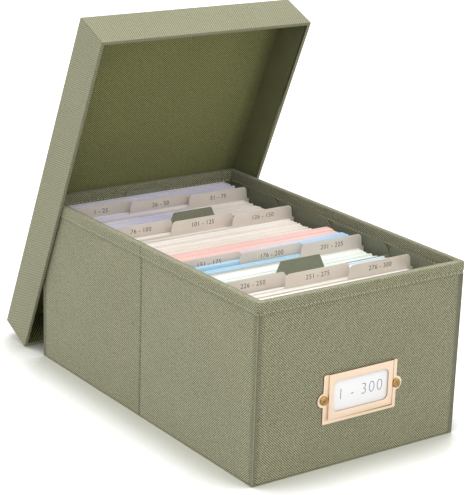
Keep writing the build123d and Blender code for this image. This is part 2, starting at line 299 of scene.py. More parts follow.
def woven_canvas(name, thread_hex, gap_hex, pitch=thread_pitch, slub=1.0):
    """Plain-woven cotton canvas, laid along the piece's own cloth coordinates."""
    material, add, surface = new_finish(
        name, Roughness=0.9, Sheen_Weight=0.2, Sheen_Roughness=0.5, IOR=1.5
    )
    cloth = add("UVMap", uv_map="UVMap")
    # threads wander a little from their straight line
    wander = add("TexNoise", {"Vector": cloth, "Scale": 160, "Detail": 1})
    wander = add("VectorMath", {0: wander.outputs["Color"], 1: [0.5] * 3}, operation="SUBTRACT")
    wander = add("VectorMath", {0: wander, "Scale": wander_share * pitch}, operation="SCALE")
    cloth_place = add("VectorMath", {0: cloth, 1: wander}, operation="ADD")
    counted = add("VectorMath", {0: cloth_place, "Scale": 1 / pitch}, operation="SCALE")
    thread = add("SeparateXYZ", {0: counted})
    # the two slanting rows that a plain weave shows, one of them stronger
    slants, height = [], 0.5
    for operation, contrast in (("ADD", strong_row), ("SUBTRACT", weak_row)):
        slant = add("Math", {0: thread.outputs["X"], 1: thread.outputs["Y"]}, operation=operation)
        angle = add("Math", {0: slant, 1: math.pi}, operation="MULTIPLY")
        row = add("Math", {0: angle}, operation="COSINE")
        height = add("Math", {0: row, 1: contrast, 2: height}, operation="MULTIPLY_ADD")
        slants.append(slant)
    # pale and dark dashes along the rows, then thick and thin threads along warp and weft
    on_rows = add("CombineXYZ", {"X": slants[0], "Y": slants[1]})
    for vector, (stretch, strength) in (
        (on_rows, row_dashes), (counted, thick_warp), (counted, thick_weft),
    ):
        along = add("Mapping", {"Vector": vector, "Scale": stretch})
        uneven = add("TexNoise", {"Vector": along, "Scale": 1, "Detail": 2})
        centred = add("Math", {0: uneven, 1: 0.5}, operation="SUBTRACT")
        height = add("Math", {0: centred, 1: strength * slub, 2: height}, operation="MULTIPLY_ADD")
    lit = add("MapRange", {"Value": height, "From Min": 0.05, "From Max": 0.95})
    dyed = add("Mix", {0: lit, 6: linear(gap_hex), 7: linear(thread_hex)}, data_type="RGBA")
    # the dye is uneven over a hand's width
    dye = uneven_tone(add, cloth, scale=18, detail=3, darkest=0.95, palest=1.04)
    settle_surface(add, surface, dyed.outputs[2], painted_light_and_tone_level(add, dye), height, canvas_relief, 0.6)
    return material


def store(piece, what, number_at):
    """Store a number on each point, found from its place and direction, for a finish to read."""
    numbers = piece.data.attributes.new(what, "FLOAT", "POINT")
    points = piece.data.vertices
    numbers.data.foreach_set("value", [number_at(point.co, point.normal) for point in points])


sage_canvas = woven_canvas("sage_woven_canvas", "#b7b592", "#40412b")
# the lid's cloth is pressed flat over its board, and its weave shows less
lid_canvas = woven_canvas("sage_lid_canvas", "#a5a484", "#717057")
# painted shade: the lining's threads and gaps are darker than the outer canvas's, for the shade
# inside box and lid
shaded_lining_canvas = woven_canvas("sage_lining_canvas_painted_shade", "#a7aa63", "#12150a", lining_pitch, slub=0.4)
print("thread rows every mm", round(thread_pitch * math.sqrt(2) / MM, 2))

# %% [markdown]
# ## Board, card, paper, sheet plastic, brass
# The other finishes are smooth to the hand, and each still shows how it was made. Greyboard is
# pressed from waste paper, so it is flecked. The trays are folded from coloured card with a
# faint grain. The prints are coated paper, and show their tinted cut edges. The divider cards
# are frosted polypropylene, which lets a little light through. The label holder is stamped brass
# sheet with a satin finish.

# %% Greyboard and tray card
def pressed_card(name, colour_hex, fleck_hex, grain_size, roughness, relief):
    """Card pressed from paper fibre: an even colour with flecks, darker where painted shade is
    stored.
    """
    material, add, surface = new_finish(name, Roughness=roughness)
    place = add("TexCoord").outputs["Object"]
    grain = add("TexNoise", {
        "Vector": place, "Scale": 1 / grain_size, "Detail": 4, "Roughness": 0.7,
    })
    flecks = add("MapRange", {"Value": grain, "From Min": 0.4, "From Max": 0.66})
    colour = add("Mix", {0: flecks, 6: linear(colour_hex), 7: linear(fleck_hex)}, data_type="RGBA")
    settle_surface(add, surface, colour.outputs[2], painted_light_and_tone_level(add, 1.0), grain, relief)
    return material


greyboard = pressed_card("pressed_greyboard", "#9a958a", "#7d786d", 0.9 * MM, 0.9, 0.1 * MM)
tray_card = pressed_card("folded_sage_card", "#7f826c", "#757862", 1.6 * MM, 0.62, 0.04 * MM)

# %% Photographic paper
# the cut edges are rough across the sheets, and even along them
edge_noise_per_metre = (12, 900, 40)


def photo_paper(name, *tint_hexes):
    """Coated paper: each sheet picks its tint by the number stored on its points."""
    material, add, surface = new_finish(name, Roughness=0.42, IOR=1.5)
    tint = add("Attribute", attribute_name="sheet_tint").outputs["Fac"]
    ramp = add("ValToRGB", {"Fac": tint})
    elements = ramp.color_ramp.elements
    while len(elements) < len(tint_hexes):
        elements.new(0.5)
    for step, (element, tint_hex) in enumerate(zip(elements, tint_hexes)):
        element.position = step / (len(tint_hexes) - 1)
        element.color = linear(tint_hex)
    place = add("TexCoord").outputs["Object"]
    along = add("Mapping", {"Vector": place, "Scale": edge_noise_per_metre})
    cut = uneven_tone(add, along, scale=1, detail=3, darkest=0.9, palest=1.03)
    settle_surface(add, surface, ramp, cut)
    return material


# tints from the front of a bundle to its rear
bundle_tints = {
    "lavender": ("#f4f1ff", "#eae5fa", "#faf7fe", "#e2ddf6"),
    "lilac_cream": ("#fbf3ea", "#f4ebe4", "#e0dcf5", "#f1eef8", "#e3e0f5"),
    "cream": ("#fbf4e8", "#f6ecdf", "#fefbf5", "#efece4"),
    "rose_cream": ("#f9e4d9", "#fdf6ed", "#f7e9df", "#fffaf3", "#f5ede6"),
    "rose": ("#a9d5f2", "#d3dcec", "#f5cbc3", "#f6d0c8", "#f1c3ba"),
    "sky": ("#cfe8f4", "#a9d7f2", "#bde1f4", "#a1d0ee"),
    "mint": ("#f2f8f0", "#e9f3ed", "#fafbf5", "#e6f1ee"),
    "ice": ("#e6f1f5", "#f2f6f4", "#dcebf3", "#f4f4ee"),
}
bundle_paper = {
    colour: photo_paper("coated_paper_" + colour, *tints) for colour, tints in bundle_tints.items()
}
print("papers", len(bundle_paper))

# %% Divider sheet
# frost on the surface is fine, and the sheet is a little cloudy over a few centimetres
frost_size, cloud_size = 0.7 * MM, 28 * MM
divider_plastic, add, surface = new_finish(
    "frosted_polypropylene", Roughness=0.5, IOR=1.49, Transmission_Weight=0.35
)
place = add("TexCoord").outputs["Object"]
frost = add("TexNoise", {"Vector": place, "Scale": 1 / frost_size, "Detail": 3})
cloud = uneven_tone(add, place, scale=1 / cloud_size, detail=2, darkest=0.94, palest=1.04)
settle_surface(add, surface, linear("#f3e9de")[:3], cloud, frost, 0.03 * MM, 0.4)

# %% Label card and ink
label_paper = pressed_card("label_card_stock", "#ffffff", "#fbfaf9", 0.8 * MM, 0.6, 0.02 * MM)
tab_ink = pressed_card("printing_ink_taupe", "#574c41", "#675c50", 0.5 * MM, 0.7, 0.01 * MM)
label_ink = pressed_card("printing_ink_grey", "#6b7585", "#7f8997", 0.5 * MM, 0.7, 0.01 * MM)

# %% Brass
brush_lines_per_metre = (150, 300, 4000)
patch_size = 9 * MM


def stamped_brass(name, colour_hex, painted_shade_hex, roughness):
    """Satin brass: fine brush lines, softer patches, and a deeper colour where painted shade is
    stored.
    """
    material, add, surface = new_finish(name, Metallic=1.0, Roughness=roughness)
    place = add("TexCoord").outputs["Object"]
    brush = add("Mapping", {"Vector": place, "Scale": brush_lines_per_metre})
    lines = add("TexNoise", {"Vector": brush, "Scale": 1, "Detail": 3})
    level = add("MapRange", {
        "Value": lines, "From Min": 0.3, "From Max": 0.7, "To Min": 0.95, "To Max": 1.0,
    })
    patches = add("TexNoise", {"Vector": place, "Scale": 1 / patch_size, "Detail": 2})
    rough = add("MapRange", {
        "Value": patches, "To Min": roughness - 0.06, "To Max": roughness + 0.08,
    })
    set_input(surface, "Roughness", rough)
    painted_step_shade = add("Attribute", attribute_name="painted_step_shade").outputs["Fac"]
    colour = add("Mix", {0: painted_step_shade, 6: linear(colour_hex), 7: linear(painted_shade_hex)}, data_type="RGBA")
    settle_surface(add, surface, colour.outputs[2], level, lines, 0.01 * MM, 0.3)
    return material


holder_brass = stamped_brass("stamped_satin_brass", "#f7dfc4", "#8f5f2e", 0.3)
screw_brass = stamped_brass("turned_brass", "#b08f58", "#7b5c30", 0.24)

# %% Sewing thread
# spun cotton: short turns, lighter on their tops
turn_size = 0.6 * MM
seam_thread, add, surface = new_finish("sage_cotton_thread", Roughness=0.8, Sheen_Weight=0.3)
place = add("TexCoord").outputs["Object"]
turns = add("TexNoise", {"Vector": place, "Scale": 1 / turn_size, "Detail": 2})
colour = add("Mix", {0: turns, 6: linear("#a3a281"), 7: linear("#cfcdaa")}, data_type="RGBA")
set_input(surface, "Base Color", colour.outputs[2])
print("finishes", len(bpy.data.materials))

# %% [markdown]
# ## Boards inside the walls
# The boards are hidden between the cloths, and still carry their finish, because a buyer of the
# part can take it to pieces. Their CAD shapes are right, so only the finish is set.

# %% Finish the hidden boards
board_endings = ("_board", "_board_front", "_board_rear")
board_nodes = [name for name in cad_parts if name.endswith(board_endings)]
for name in board_nodes:
    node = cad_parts[name]
    node.data.materials.clear()
    node.data.materials.append(greyboard)
print("boards", len(board_nodes))

# %% [markdown]
# ## Outer cloth
# Four cloths are glued on the walls, and one under the bottom. Each starts as a thin slab. It
# sinks towards the corner seams, where it is stitched down, at its foot, where it is turned
# under, and at the middle of the long sides, where the boards are cut in half for folding. All
# are made the same way: the slab is cut into strips near that line, and the cuts are pushed in,
# the nearest one the deepest.

# %% Sink a line of the cloth
# each step is how far it lies from the line, and how deep it is sunk, in mm
corner_sink = ((0.0, 0.45), (1.0, 0.36), (2.4, 0.12), (3.6, 0.0))
fold_sink = ((0.0, 0.95), (0.6, 0.62), (1.3, 0.16), (2.2, 0.0))
foot_sink = ((0.0, 0.42), (0.5, 0.3), (1.4, 0.0))
near = 0.01 * MM


def sink_line(wall, axis, place, outward, steps, keep_back):
    """Cut strips on both sides of a line, and push them in, one step after another."""
    way = Vector([1.0 if index == axis else 0.0 for index in range(3)])
    face_place = max(point.co.dot(outward) for point in wall.data.vertices)
    for reach, _ in steps:
        for side in ((-1, 1) if reach else (1,)):
            cut_through(way * (place + side * reach * MM), way)
    for reach, depth in steps:
        pick(wall, "VERT", lambda middle, _: abs(abs(middle[axis] - place) - reach * MM) < near
             and (not keep_back or abs(middle.dot(outward) - face_place) < near))
        bpy.ops.transform.translate(value=-outward * depth * MM)


def how_sunk(middle, place, steps):
    """0 to 1: how deep the line's steps are at a distance from it."""
    distance = abs(middle - place) / MM - 0.05
    return max([depth for reach, depth in steps if reach >= distance] or [0]) / steps[0][1]


# %% Cloth on the four walls and the bottom
def eased_block(name, node, test, radius, segments=3):
    """A block as large as a node, some of its edges rounded, still in edit mode."""
    piece = start_blank(name, *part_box(node))
    pick(piece, "EDGE", test)
    bpy.ops.mesh.bevel(offset=radius, segments=segments)
    return piece


corner_tone, fold_tone, wall_foot_tone = -0.55, -0.75, -0.8
for name in ("front_cover", "back_cover", "left_cover", "right_cover"):
    low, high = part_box(name)
    faces_y = high.x - low.x > high.y - low.y
    run, across = (0, 1) if faces_y else (1, 0)
    outward = Vector((0, 0, 0))
    outward[across] = math.copysign(1, low[across])
    wall = start_blank("canvas_" + name.replace("_cover", "_wall"), low, high)
    sink_line(wall, run, low[run], outward, corner_sink, keep_back=True)
    sink_line(wall, run, high[run], outward, corner_sink, keep_back=True)
    sink_line(wall, 2, low.z, outward, foot_sink, keep_back=True)
    if not faces_y:
        sink_line(wall, run, 0, outward, fold_sink, keep_back=False)
    bpy.ops.object.mode_set(mode="OBJECT")
    # painted shade where the cloth sinks: beside the corner seams, in the fold and at the foot
    store(wall, "painted_light_and_tone", lambda place, _: corner_tone * max(
        how_sunk(place[run], low[run], corner_sink), how_sunk(place[run], high[run], corner_sink))
        + (0 if faces_y else fold_tone * how_sunk(place[run], 0, fold_sink))
        + wall_foot_tone * how_sunk(place.z, low.z, foot_sink))
    lay_cloth(wall)
    finish_piece(wall, sage_canvas, "box", [name])

underside = eased_block("canvas_underside", "base_cover",
                        lambda middle, _: middle.z < 0.1 * MM, 0.4 * MM, segments=2)
lay_cloth(underside)
finish_piece(underside, sage_canvas, "box", ["base_cover"])

# %% [markdown]
# ## Corner seams
# At each upright corner the front and side cloths are sewn together, and the seam stands up as a
# thin ridge with a channel on each side. The section is drawn once as a flat angle: a square
# with its inner quarter taken out, its outer point rounded, and two channels pressed in. It is
# pulled up the height of the wall, eased at its foot, and mirrored to the other three corners.
# The ridge is painted pale as a highlight, and the channels beside it are painted dark as shade.

# %% Section of the seam, pulled up
seam_low, seam_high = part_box("corner_seams")
seam_leg = 2.75 * MM
seam_thickness = 0.95 * MM
ridge_width, ridge_rounding = 0.5 * MM, 0.35 * MM
channel_start, channel_end, channel_depth = 0.75 * MM, 1.7 * MM, 0.5 * MM
corner = Vector((seam_high.x, seam_high.y, seam_low.z))

seam = start_sheet("corner_seam_ridges", corner - Vector((seam_leg, seam_leg, 0)) / 2,
                   seam_leg, seam_leg)
for reach in (seam_thickness, ridge_width, channel_start, channel_end):
    cut_through(corner - Vector((reach, 0, 0)), (1, 0, 0))
    cut_through(corner - Vector((0, reach, 0)), (0, 1, 0))
inner = corner - Vector((seam_thickness, seam_thickness, 0))
pick(seam, "FACE", lambda middle, _: middle.x < inner.x and middle.y < inner.y)
bpy.ops.mesh.delete(type="FACE")
for axis, other in ((0, 1), (1, 0)):
    pick(seam, "VERT", lambda middle, _: abs(middle[axis] - corner[axis]) < near
         and corner[other] - middle[other] > channel_start - near)
    push = Vector((0, 0, 0))
    push[axis] = -channel_depth
    bpy.ops.transform.translate(value=push)
pick(seam, "VERT", lambda middle, _: (middle - corner).length < near)
bpy.ops.mesh.bevel(offset=ridge_rounding, segments=3, affect="VERTICES")
pick(seam, "FACE", lambda middle, _: True)
bpy.ops.mesh.extrude_region_move(
    TRANSFORM_OT_translate={"value": (0, 0, seam_high.z - seam_low.z)}
)

# %% Ease its foot, and mirror it
# how high above the foot, and how far the ridge is drawn in there, in mm
foot_easing = ((1.2, 0.25), (0.0, 0.6))
near_face, near_ridge = 0.3 * MM, 1.0 * MM
for rise, pull in foot_easing:
    if rise:
        cut_through(corner + Vector((0, 0, rise * MM)), (0, 0, 1))
    pick(seam, "VERT", lambda middle, _: abs(middle.z - corner.z - rise * MM) < near
         and min(corner.x - middle.x, corner.y - middle.y) < near_face
         and max(corner.x - middle.x, corner.y - middle.y) < near_ridge)
    bpy.ops.transform.translate(value=(-pull * MM, -pull * MM, 0))
modify(seam, "MIRROR", use_axis=(True, True, False), use_mirror_merge=False)
face_outwards(seam)

# how far from the corner each tone reaches, in mm: the ridge, its foot, the rest
seam_tones = ((0.6, 0.4), (1.8, -0.7), (math.inf, -0.4))


def seam_painted_light(place, _):
    """Painted highlight on the ridge, painted shade right beside it, and a little across the
    channel.
    """
    distance = max(seam_high.x - abs(place.x), seam_high.y - abs(place.y)) / MM
    return next(tone for reach, tone in seam_tones if distance < reach)


store(seam, "painted_light_and_tone", seam_painted_light)
lay_cloth(seam, fineness=2.0)
finish_piece(seam, sage_canvas, "box", ["corner_seams"], smooth_angle=50)

# %% [markdown]
# ## Rims
# The binding of the box and the cloth of the lid both run round a rectangle with the same
# section all the way. It could be swept along a curve, but a rectangle is simpler: a flat plate
# with rounded corners is extruded by one step of the section after another, and scaled after
# each, so that every side moves in alike. The plate travels with the extrusion. It ends as the
# closed top of the lid, and is deleted where the rim is open. Cuts near the corners keep the
# long sides flat where their shading is smoothed.

# %% Pull a plate through a section
corner_cut = 7.5 * MM


def start_plate(name, half_x, half_y, height, corner_radius):
    """A flat rectangle with rounded corners, in edit mode and selected."""
    piece = start_sheet(name, (0, 0, height), 2 * half_x, 2 * half_y)
    bpy.ops.mesh.bevel(offset=corner_radius, segments=4, affect="VERTICES")
    bpy.ops.mesh.select_mode(type="FACE")
    bpy.ops.mesh.select_all(action="SELECT")
    return piece


def pull_plate(piece, half_x, half_y, section, keep_last):
    """Extrude the plate through steps of (how far in, how high), both in mm, and open its ends."""
    (inset, height), *steps = section
    for next_inset, next_height in steps:
        bpy.ops.mesh.extrude_region_move(
            TRANSFORM_OT_translate={"value": (0, 0, (next_height - height) * MM)}
        )
        bpy.ops.transform.resize(
            value=((half_x - next_inset * MM) / (half_x - inset * MM),
                   (half_y - next_inset * MM) / (half_y - inset * MM), 1),
            center_override=(0, 0, 0),
        )
        inset, height = next_inset, next_height
    # extruding leaves the plate behind as well, and the last one stays only where it is a top
    pick(piece, "FACE", lambda middle, _: abs(middle.x) + abs(middle.y) < 1 * MM
         and not (keep_last and abs(middle.z - height * MM) < near))
    bpy.ops.mesh.delete(type="FACE")
    for way, half in ((Vector((1, 0, 0)), half_x), (Vector((0, 1, 0)), half_y)):
        for side in (-1, 1):
            cut_through(way * side * (half - corner_cut), way)


# %% [markdown]
# ## Rim binding
# A strip of canvas is folded over the rim of the box and sewn through, so its section goes up
# the outside, over the rim in a soft roll, and down the inside. The sewing pulls it in along a
# line near each foot. At the middle of the long sides, where the box folds, the strip is
# creased. A cloth thickness is given last. Shade is painted into the crease, along the sewing
# and inside, and a highlight on the roll where it is open to the light.

# %% Binding section
binding_low, binding_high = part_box("rim_binding")
wall_thickness = 5.3
binding_cloth = 0.6 * MM
binding_corner = 1.5 * MM
stitch_rise = 1.9
outer_leg = (
    (0.45, 0.0), (0.12, 0.2), (0.0, 0.7), (0.12, 1.3), (0.5, stitch_rise), (0.1, 2.6),
    (0.0, 3.6), (0.0, 8.2), (0.12, 8.95), (0.45, 9.33), (0.95, 9.48),
)
inner_leg = tuple((wall_thickness - inset, height) for inset, height in reversed(outer_leg))
binding_section = outer_leg + ((wall_thickness / 2, 9.5),) + inner_leg
half_x, half_y = binding_high.x, binding_high.y
first_inset = outer_leg[0][0] * MM
binding = start_plate("canvas_rim_binding", half_x - first_inset, half_y - first_inset,
                      binding_low.z, binding_corner)
pull_plate(binding, half_x, half_y, binding_section, keep_last=False)

# %% Crease and thickness
crease_cuts = (-1.5, -0.6, 0, 0.6, 1.5)
crease_outside, crease_inside, crease_top = -0.4 * MM, 0.3 * MM, -0.4 * MM
roll_depth = 1.5 * MM
crease_reach = 0.1 * MM
for reach in crease_cuts:
    cut_through((0, reach * MM, 0), (0, 1, 0))
rim_middle = half_x - wall_thickness / 2 * MM
for side in (-1, 1):
    for is_inner, push in ((False, crease_outside), (True, crease_inside)):
        pick(binding, "VERT", lambda middle, _: abs(middle.y) < crease_reach
             and middle.x * side > 0 and (abs(middle.x) < rim_middle) == is_inner)
        bpy.ops.transform.translate(value=(side * push, 0, 0))
    pick(binding, "VERT", lambda middle, _: abs(middle.y) < crease_reach
         and middle.x * side > 0 and middle.z > binding_high.z - roll_depth)
    bpy.ops.transform.translate(value=(0, 0, crease_top))
face_outwards(binding)
modify(binding, "SOLIDIFY", thickness=binding_cloth, offset=-1, use_even_offset=True)

# %% Painted shade and highlight of the binding
crease_tone, flat_tone, inside_tone, rear_inside_tone = -0.8, -0.08, -0.7, -0.25
# tones by the height above the binding's foot, rounded to whole mm, then on the roll
shaded_tones, shaded_roll = {0: -0.7, 2: -0.5}, -0.3
open_tones, open_roll = {**shaded_tones, 1: 0.05}, 0.2
roll_start = 8.8
inside_margin, right_band, rear_band = 0.5 * MM, 3 * MM, 6 * MM
inside_x = rim_middle - inside_margin
inside_y = half_y - wall_thickness / 2 * MM - inside_margin


def binding_painted_light(place, _):
    """Painted shade in the crease, along the sewing and inside, and a painted highlight on the roll
    but at the rear.
    """
    if abs(place.y) < 0.3 * MM:
        return crease_tone
    at_rear = place.y > half_y - rear_band
    if abs(place.x) < inside_x and abs(place.y) < inside_y:
        return rear_inside_tone if at_rear else inside_tone
    shaded = at_rear or place.x > rim_middle - right_band
    tones, roll = (shaded_tones, shaded_roll) if shaded else (open_tones, open_roll)
    rise = (place.z - binding_low.z) / MM
    return tones.get(round(rise), roll if rise > roll_start else flat_tone)


store(binding, "painted_light_and_tone", binding_painted_light)
lay_cloth(binding)
finish_piece(binding, sage_canvas, "box", ["rim_binding"], smooth_angle=60)

# %% [markdown]
# ## Stitches along the binding
# A lock stitch shows as a row of short fat dashes, one every three or four millimetres. One
# stitch is a stretched ball with few faces. An array lays it along each side of the box, outside
# and inside.

# %% One stitch, laid in rows
stitch_spacing = 3.4 * MM
stitch_length = 2.4 * MM
stitch_width = 0.75 * MM


def stitch_row(middle, half_run, outward):
    """A straight row of stitches to both sides of its middle, on a cloth that faces outward."""
    count = int(2 * half_run.length / stitch_spacing)
    bpy.ops.object.select_all(action="DESELECT")
    bpy.ops.mesh.primitive_uv_sphere_add(segments=6, ring_count=4, radius=0.5)
    row = bpy.context.object
    along = half_run.normalized()
    across = along.cross(outward)
    sides = Matrix((across * stitch_width, outward * stitch_width, along * stitch_length))
    first = middle - along * (count - 1) * stitch_spacing / 2
    row.matrix_world = Matrix.Translation(first) @ sides.transposed().to_4x4()
    bpy.ops.object.transform_apply()
    modify(row, "ARRAY", count=count, use_relative_offset=False, use_constant_offset=True,
           constant_offset_displace=along * stitch_spacing)
    return row


def stitch_rows(name, inset, end_gap, side):
    """Four rows round the box: side is 1 for cloth facing outwards and -1 for inwards."""
    x, y = half_x - inset, half_y - inset
    rise = Vector((0, 0, binding_low.z + stitch_rise * MM))
    rows = []
    for sign in (-1, 1):
        for place, half_run in (((0, sign * y, 0), (x - end_gap, 0, 0)),
                                ((sign * x, 0, 0), (0, y - end_gap, 0))):
            outward = Vector(place).normalized() * side
            rows.append(stitch_row(Vector(place) + rise, Vector(half_run), outward))
    select_only(*rows)
    bpy.ops.object.join()
    rows[0].name = rows[0].data.name = name
    face_outwards(rows[0])
    return finish_piece(rows[0], seam_thread, "box", smooth_angle=80)


stitch_sink = 0.4 * MM
stitch_rows("binding_stitches_outside", stitch_sink, 2.4 * MM, side=1)
stitch_rows("binding_stitches_inside", wall_thickness * MM - stitch_sink, 2.0 * MM, side=-1)

# %% [markdown]
# ## Lining and base board
# Inside, the walls are lined with a thinner canvas, and a loose covered board lies on the
# bottom. The lining is a block whose top and bottom are taken off and which then gets its cloth
# thickness inwards.

# %% Wall lining
def is_upright(_, way):
    return abs(way.z) > 0.99


lining = eased_block("canvas_wall_lining", "inner_lining", is_upright, 0.45 * MM)
pick(lining, "FACE", is_upright)
bpy.ops.mesh.delete(type="FACE")
modify(lining, "SOLIDIFY", thickness=0.5 * MM, offset=-1, use_even_offset=True)
lay_cloth(lining)
finish_piece(lining, shaded_lining_canvas, "box", ["inner_lining"])

pad = eased_block("canvas_base_board", "base_pad", lambda *_: True, 0.6 * MM)
lay_cloth(pad)
finish_piece(pad, shaded_lining_canvas, "box", ["base_pad"])

# %% [markdown]
# ## The lid
# The lid is a shallow tray of board with cloth glued round it, turned in under the rim, and a
# lining inside. It is modelled lying flat, rim down, where its cloth coordinates are easy to
# lay, and only then leaned back by the angle that the frame has.

# %% Where the lid leans
lid_half_x = 92.5 * MM
skirt_low, skirt_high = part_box("lid_skirt_cover")
lid_lean = math.radians(23.5)
lid_depth = 33.0 * MM
lid_cloth, lid_board, lid_lining_cloth = 0.5 * MM, 1.8 * MM, 0.4 * MM
lid_out = Vector((0, math.cos(lid_lean), math.sin(lid_lean)))
lid_up = Vector((0, -math.sin(lid_lean), math.cos(lid_lean)))
# the skirt's lowest point is the foot of its rim, and its highest the upper outer corner
lid_height = (skirt_high.z - skirt_low.z - lid_depth * lid_out.z) / lid_up.z
lid_half_y = lid_height / 2
lid_foot_y = skirt_high.y - lid_depth * lid_out.y
lid_middle = Vector((0, lid_foot_y, skirt_low.z)) + lid_up * lid_half_y
lid_turn = Matrix(((-1, 0, 0), lid_up, lid_out)).transposed()
lid_place = Matrix.Translation(lid_middle) @ lid_turn.to_4x4()
print("lid mm", round(2 * lid_half_x / MM, 1), round(lid_height / MM, 1))

# %% Lid cloth: turned-in rim, skirt and top in one
lid_wall = (lid_cloth + lid_board + lid_lining_cloth) / MM
depth = lid_depth / MM
lid_section = (
    (lid_wall, 1.6), (lid_wall, 0.5), (lid_wall - 0.2, 0.12), (lid_wall - 0.7, 0.0),
    (0.6, 0.0), (0.15, 0.12), (0.0, 0.6), (0.0, 1.4), (0.0, depth - 1.6), (0.0, depth - 0.8),
    (0.25, depth - 0.25), (0.8, depth), (2.0, depth),
)
lid_cover = start_plate("canvas_lid_cover", lid_half_x - lid_wall * MM,
                        lid_half_y - lid_wall * MM, lid_section[0][1] * MM, 0.8 * MM)
pull_plate(lid_cover, lid_half_x, lid_half_y, lid_section, keep_last=True)

# %% Mitres, thickness, tones and painted shade
# the cloths of two sides meet in a thin mitre line down each corner of the skirt
corner_middle = Vector((lid_half_x, lid_half_y))
mitre_reach, mitre_width, mitre_sink = 0.75 * MM, 0.2 * MM, 0.22 * MM


def from_corner(place):
    """How far a point lies from the nearest corner of the lid, in plan."""
    return (Vector((abs(place.x), abs(place.y))) - corner_middle).length


def on_mitre(place):
    off_line = (lid_half_x - abs(place.x)) - (lid_half_y - abs(place.y))
    return from_corner(place) < mitre_reach and abs(off_line) < mitre_width


for side_x in (-1, 1):
    for side_y in (-1, 1):
        pick(lid_cover, "VERT", lambda middle, _: middle.x * side_x > 0
             and middle.y * side_y > 0 and on_mitre(middle))
        bpy.ops.transform.translate(value=(-side_x * mitre_sink, -side_y * mitre_sink, 0))
face_outwards(lid_cover)
modify(lid_cover, "SOLIDIFY", thickness=lid_cloth, offset=-1, use_even_offset=True)
# up to which height above the rim each tone reaches, in mm
lid_tones = ((0.3, -0.35), (0.8, 0.1), (depth - 0.9, 0.0), (depth - 0.1, -0.35), (math.inf, 0.0))
mitre_tone = -0.6


def lid_tones_and_painted_shade(place, _):
    """Dark in the mitres, painted shade under the rim, darker along the top edge, pale on the rim's
    edge.
    """
    if from_corner(place) < 0.6 * MM:
        return mitre_tone
    return next(tone for reach, tone in lid_tones if place.z / MM < reach)


store(lid_cover, "painted_light_and_tone", lid_tones_and_painted_shade)
lay_cloth(lid_cover)
lid_cover.matrix_world = lid_place
finish_piece(lid_cover, lid_canvas, "lid", ["lid_top_cover", "lid_skirt_cover"])

# %% Lid lining
lining_half_x = lid_half_x - lid_cloth - lid_board
lining_half_y = lid_half_y - lid_cloth - lid_board
fade_width, skirt_band, skirt_foot = 14 * MM, 5 * MM, 4 * MM
skirt_foot_tone, skirt_tone = -0.95, -0.75
lid_lining = start_blank(
    "canvas_lid_lining",
    (-lining_half_x, -lining_half_y, lid_cloth),
    (lining_half_x, lining_half_y, lid_depth - lid_cloth - lid_board),
)
pick(lid_lining, "EDGE", lambda middle, way: middle.z > lid_cloth + near)
bpy.ops.mesh.bevel(offset=0.4 * MM, segments=2)
pick(lid_lining, "FACE", lambda middle, way: way.z < -0.99)
bpy.ops.mesh.delete(type="FACE")
for side in (-1, 1):
    cut_through((side * (lining_half_x - fade_width), 0, 0), (1, 0, 0))
modify(lid_lining, "SOLIDIFY", thickness=lid_lining_cloth, offset=-1, use_even_offset=True)


def lining_painted_shade(place, _):
    """Painted shade on the two side skirts, darkest along their foot."""
    if abs(place.x) < lining_half_x - skirt_band:
        return 0.0
    return skirt_foot_tone if place.z > lid_depth - skirt_foot else skirt_tone


store(lid_lining, "painted_light_and_tone", lining_painted_shade)
lay_cloth(lid_lining)
# the cloth on these skirts is seen at a slant, and is laid finer so that its rows hardly show
skirt_fineness = 2.6
bpy.ops.object.mode_set(mode="EDIT")
pick(lid_lining, "FACE", lambda middle, way: abs(way.x) > 0.9)
bpy.ops.uv.cube_project(cube_size=1 / skirt_fineness, correct_aspect=False)
bpy.ops.object.mode_set(mode="OBJECT")
lid_lining.matrix_world = lid_place
finish_piece(lid_lining, shaded_lining_canvas, "lid", ["lid_lining"])

# %% [markdown]
# ## Trays and divider cards
# Their CAD outlines are right down to the rounded flap corners and tabs, so each is a copy of
# its node with the loose triangles merged into flat faces and a small bevel on every edge, which
# is what a cut and folded edge shows.

# %% A bevelled copy of a node
def softened_copy(node, name, edge, segments=2):
    """A copy of a CAD node, its triangles merged into flats and its edges eased."""
    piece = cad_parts[node].copy()
    piece.data = piece.data.copy()
    piece.parent = None
    for key in [key for key in piece.keys() if key.startswith("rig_")]:
        del piece[key]
    piece.name = piece.data.name = name
    bpy.context.scene.collection.objects.link(piece)
    edit_all(piece)
    bpy.ops.mesh.remove_doubles(threshold=0.005 * MM)
    bpy.ops.mesh.dissolve_limited(angle_limit=math.radians(2))
    modify(piece, "BEVEL", width=edge, segments=segments, limit_method="ANGLE",
           angle_limit=math.radians(40), harden_normals=False)
    return piece


tray_numbers = (1, 2, 3, 4)
tray_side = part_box("tray_1")[1].x - 2 * MM
flap_tone = -0.7
for number in tray_numbers:
    name = f"tray_{number}"
    piece = softened_copy(name, f"folded_{name}", 0.22 * MM)
    # painted shade: the side flaps are darker, but not their cut edges
    store(piece, "painted_light_and_tone", lambda place, way:
          flap_tone if abs(way.x) > 0.5 and abs(place.x) > tray_side else 0.0)
    finish_piece(piece, tray_card, name, [name])

# %% Divider cards
places = (1, 2, 3)
for number in tray_numbers:
    for place in places:
        name = f"divider_{number}_{place}"
        piece = softened_copy(name, f"frosted_{name}", 0.1 * MM)
        finish_piece(piece, divider_plastic, name, [name])

# %% [markdown]
# ## Numbers on the tabs
# Each tab carries a printed range, counting the prints behind it. A text object is set in the
# built-in letters, made a mesh, and stood against the front of its card. It is as thick as ink.

# %% Print on the tabs
prints_per_card = 25
tab_letter_size, tab_letter_spacing = 4.9 * MM, 1.1
tab_width, tab_inset, print_drop = 54.5 * MM, 3.2 * MM, 5.0 * MM
ink_thickness = 0.02 * MM
upright = Matrix.Rotation(math.radians(90), 4, "X")


